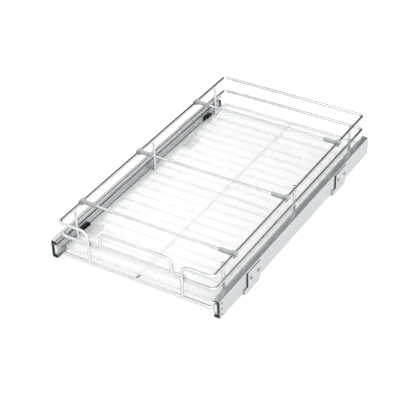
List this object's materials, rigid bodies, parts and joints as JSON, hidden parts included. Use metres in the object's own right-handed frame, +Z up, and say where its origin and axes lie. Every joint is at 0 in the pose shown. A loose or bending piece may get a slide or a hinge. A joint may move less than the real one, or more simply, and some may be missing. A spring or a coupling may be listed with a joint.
{
  "type": "pull out cabinet basket",
  "caption": "Chrome wire basket with a pull handle, floor liner and sliding divider rods, carried on side-mounted ball-bearing slides with floor brackets.",
  "frame": {"origin": "under the middle of the closed assembly, on the plane of the bracket feet", "axes": "+Z up, +Y into the cabinet, the basket pulls out towards -Y, +X to the right seen from the front"},
  "size_m": [0.325, 0.5348, 0.0827],
  "materials": {
    "chrome_wire": "bright chrome plated wire",
    "zinc_steel": "zinc plated sheet steel",
    "black_plastic": "matte black plastic",
    "grey_plastic": "satin grey plastic",
    "bearing_steel": "polished steel",
    "black_oxide_steel": "black oxide steel",
    "milky_plastic": "glossy translucent white sheet"
  },
  "bodies": {
    "cabinet_side": {"left_cabinet_member": "zinc_steel", "left_front_insert": "black_plastic", "left_rear_bumper": "black_plastic", "left_front_bracket": "zinc_steel", "left_front_rivets": "bearing_steel", "left_rear_bracket": "zinc_steel", "left_rear_rivets": "bearing_steel", "right_cabinet_member": "zinc_steel", "right_front_insert": "black_plastic", "right_rear_bumper": "black_plastic", "right_front_bracket": "zinc_steel", "right_front_rivets": "bearing_steel", "right_rear_bracket": "zinc_steel", "right_rear_rivets": "bearing_steel"},
    "basket": {"left_front_rail_clip": "black_plastic", "left_front_clip_screw": "black_oxide_steel", "left_rear_rail_clip": "black_plastic", "left_rear_clip_screw": "black_oxide_steel", "left_drawer_member": "zinc_steel", "right_front_rail_clip": "black_plastic", "right_front_clip_screw": "black_oxide_steel", "right_rear_rail_clip": "black_plastic", "right_rear_clip_screw": "black_oxide_steel", "right_drawer_member": "zinc_steel", "top_rail": "chrome_wire", "mid_rail": "chrome_wire", "bottom_rail": "chrome_wire", "front_stirrup": "chrome_wire", "middle_stirrup": "chrome_wire", "rear_stirrup": "chrome_wire", "floor_cross_wires": "chrome_wire", "centre_floor_wire": "chrome_wire", "handle_base": "chrome_wire", "handle_arch": "chrome_wire", "floor_liner": "milky_plastic"},
    "left_intermediate": {"left_intermediate_member": "zinc_steel"},
    "left_outer_cage_set": {"left_outer_cage": "zinc_steel", "left_outer_balls": "bearing_steel"},
    "left_inner_cage_set": {"left_inner_cage": "zinc_steel", "left_inner_balls": "bearing_steel"},
    "right_intermediate": {"right_intermediate_member": "zinc_steel"},
    "right_outer_cage_set": {"right_outer_cage": "zinc_steel", "right_outer_balls": "bearing_steel"},
    "right_inner_cage_set": {"right_inner_cage": "zinc_steel", "right_inner_balls": "bearing_steel"},
    "front_divider": {"front_divider_rod": "chrome_wire", "left_front_divider_clip": "grey_plastic", "right_front_divider_clip": "grey_plastic"},
    "middle_divider": {"middle_divider_rod": "chrome_wire", "left_middle_divider_clip": "grey_plastic", "right_middle_divider_clip": "grey_plastic"},
    "rear_divider": {"rear_divider_rod": "chrome_wire", "left_rear_divider_clip": "grey_plastic", "right_rear_divider_clip": "grey_plastic"}
  },
  "joints": [
    {"name": "basket_slide", "type": "slide", "parent": "cabinet_side", "child": "basket", "axis": [0, -1, 0], "range_m": [0, 0.5]},
    {"name": "left_intermediate_slide", "type": "slide", "parent": "cabinet_side", "child": "left_intermediate", "axis": [0, -1, 0], "range_m": [0, 0.25]},
    {"name": "left_outer_cage_set_slide", "type": "slide", "parent": "cabinet_side", "child": "left_outer_cage_set", "axis": [0, -1, 0], "range_m": [0, 0.125]},
    {"name": "left_inner_cage_set_slide", "type": "slide", "parent": "cabinet_side", "child": "left_inner_cage_set", "axis": [0, -1, 0], "range_m": [0, 0.375]},
    {"name": "right_intermediate_slide", "type": "slide", "parent": "cabinet_side", "child": "right_intermediate", "axis": [0, -1, 0], "range_m": [0, 0.25]},
    {"name": "right_outer_cage_set_slide", "type": "slide", "parent": "cabinet_side", "child": "right_outer_cage_set", "axis": [0, -1, 0], "range_m": [0, 0.125]},
    {"name": "right_inner_cage_set_slide", "type": "slide", "parent": "cabinet_side", "child": "right_inner_cage_set", "axis": [0, -1, 0], "range_m": [0, 0.375]},
    {"name": "front_divider_slide", "type": "slide", "parent": "basket", "child": "front_divider", "axis": [0, 1, 0], "range_m": [-0.019, 0.079]},
    {"name": "middle_divider_slide", "type": "slide", "parent": "basket", "child": "middle_divider", "axis": [0, 1, 0], "range_m": [-0.08, 0.028]},
    {"name": "rear_divider_slide", "type": "slide", "parent": "basket", "child": "rear_divider", "axis": [0, 1, 0], "range_m": [-0.144, 0.05]}
  ],
  "couplings": [
    {"joint": "left_intermediate_slide", "follows": "basket_slide", "ratio": 0.5},
    {"joint": "left_outer_cage_set_slide", "follows": "basket_slide", "ratio": 0.25},
    {"joint": "left_inner_cage_set_slide", "follows": "basket_slide", "ratio": 0.75},
    {"joint": "right_intermediate_slide", "follows": "basket_slide", "ratio": 0.5},
    {"joint": "right_outer_cage_set_slide", "follows": "basket_slide", "ratio": 0.25},
    {"joint": "right_inner_cage_set_slide", "follows": "basket_slide", "ratio": 0.75}
  ]
}
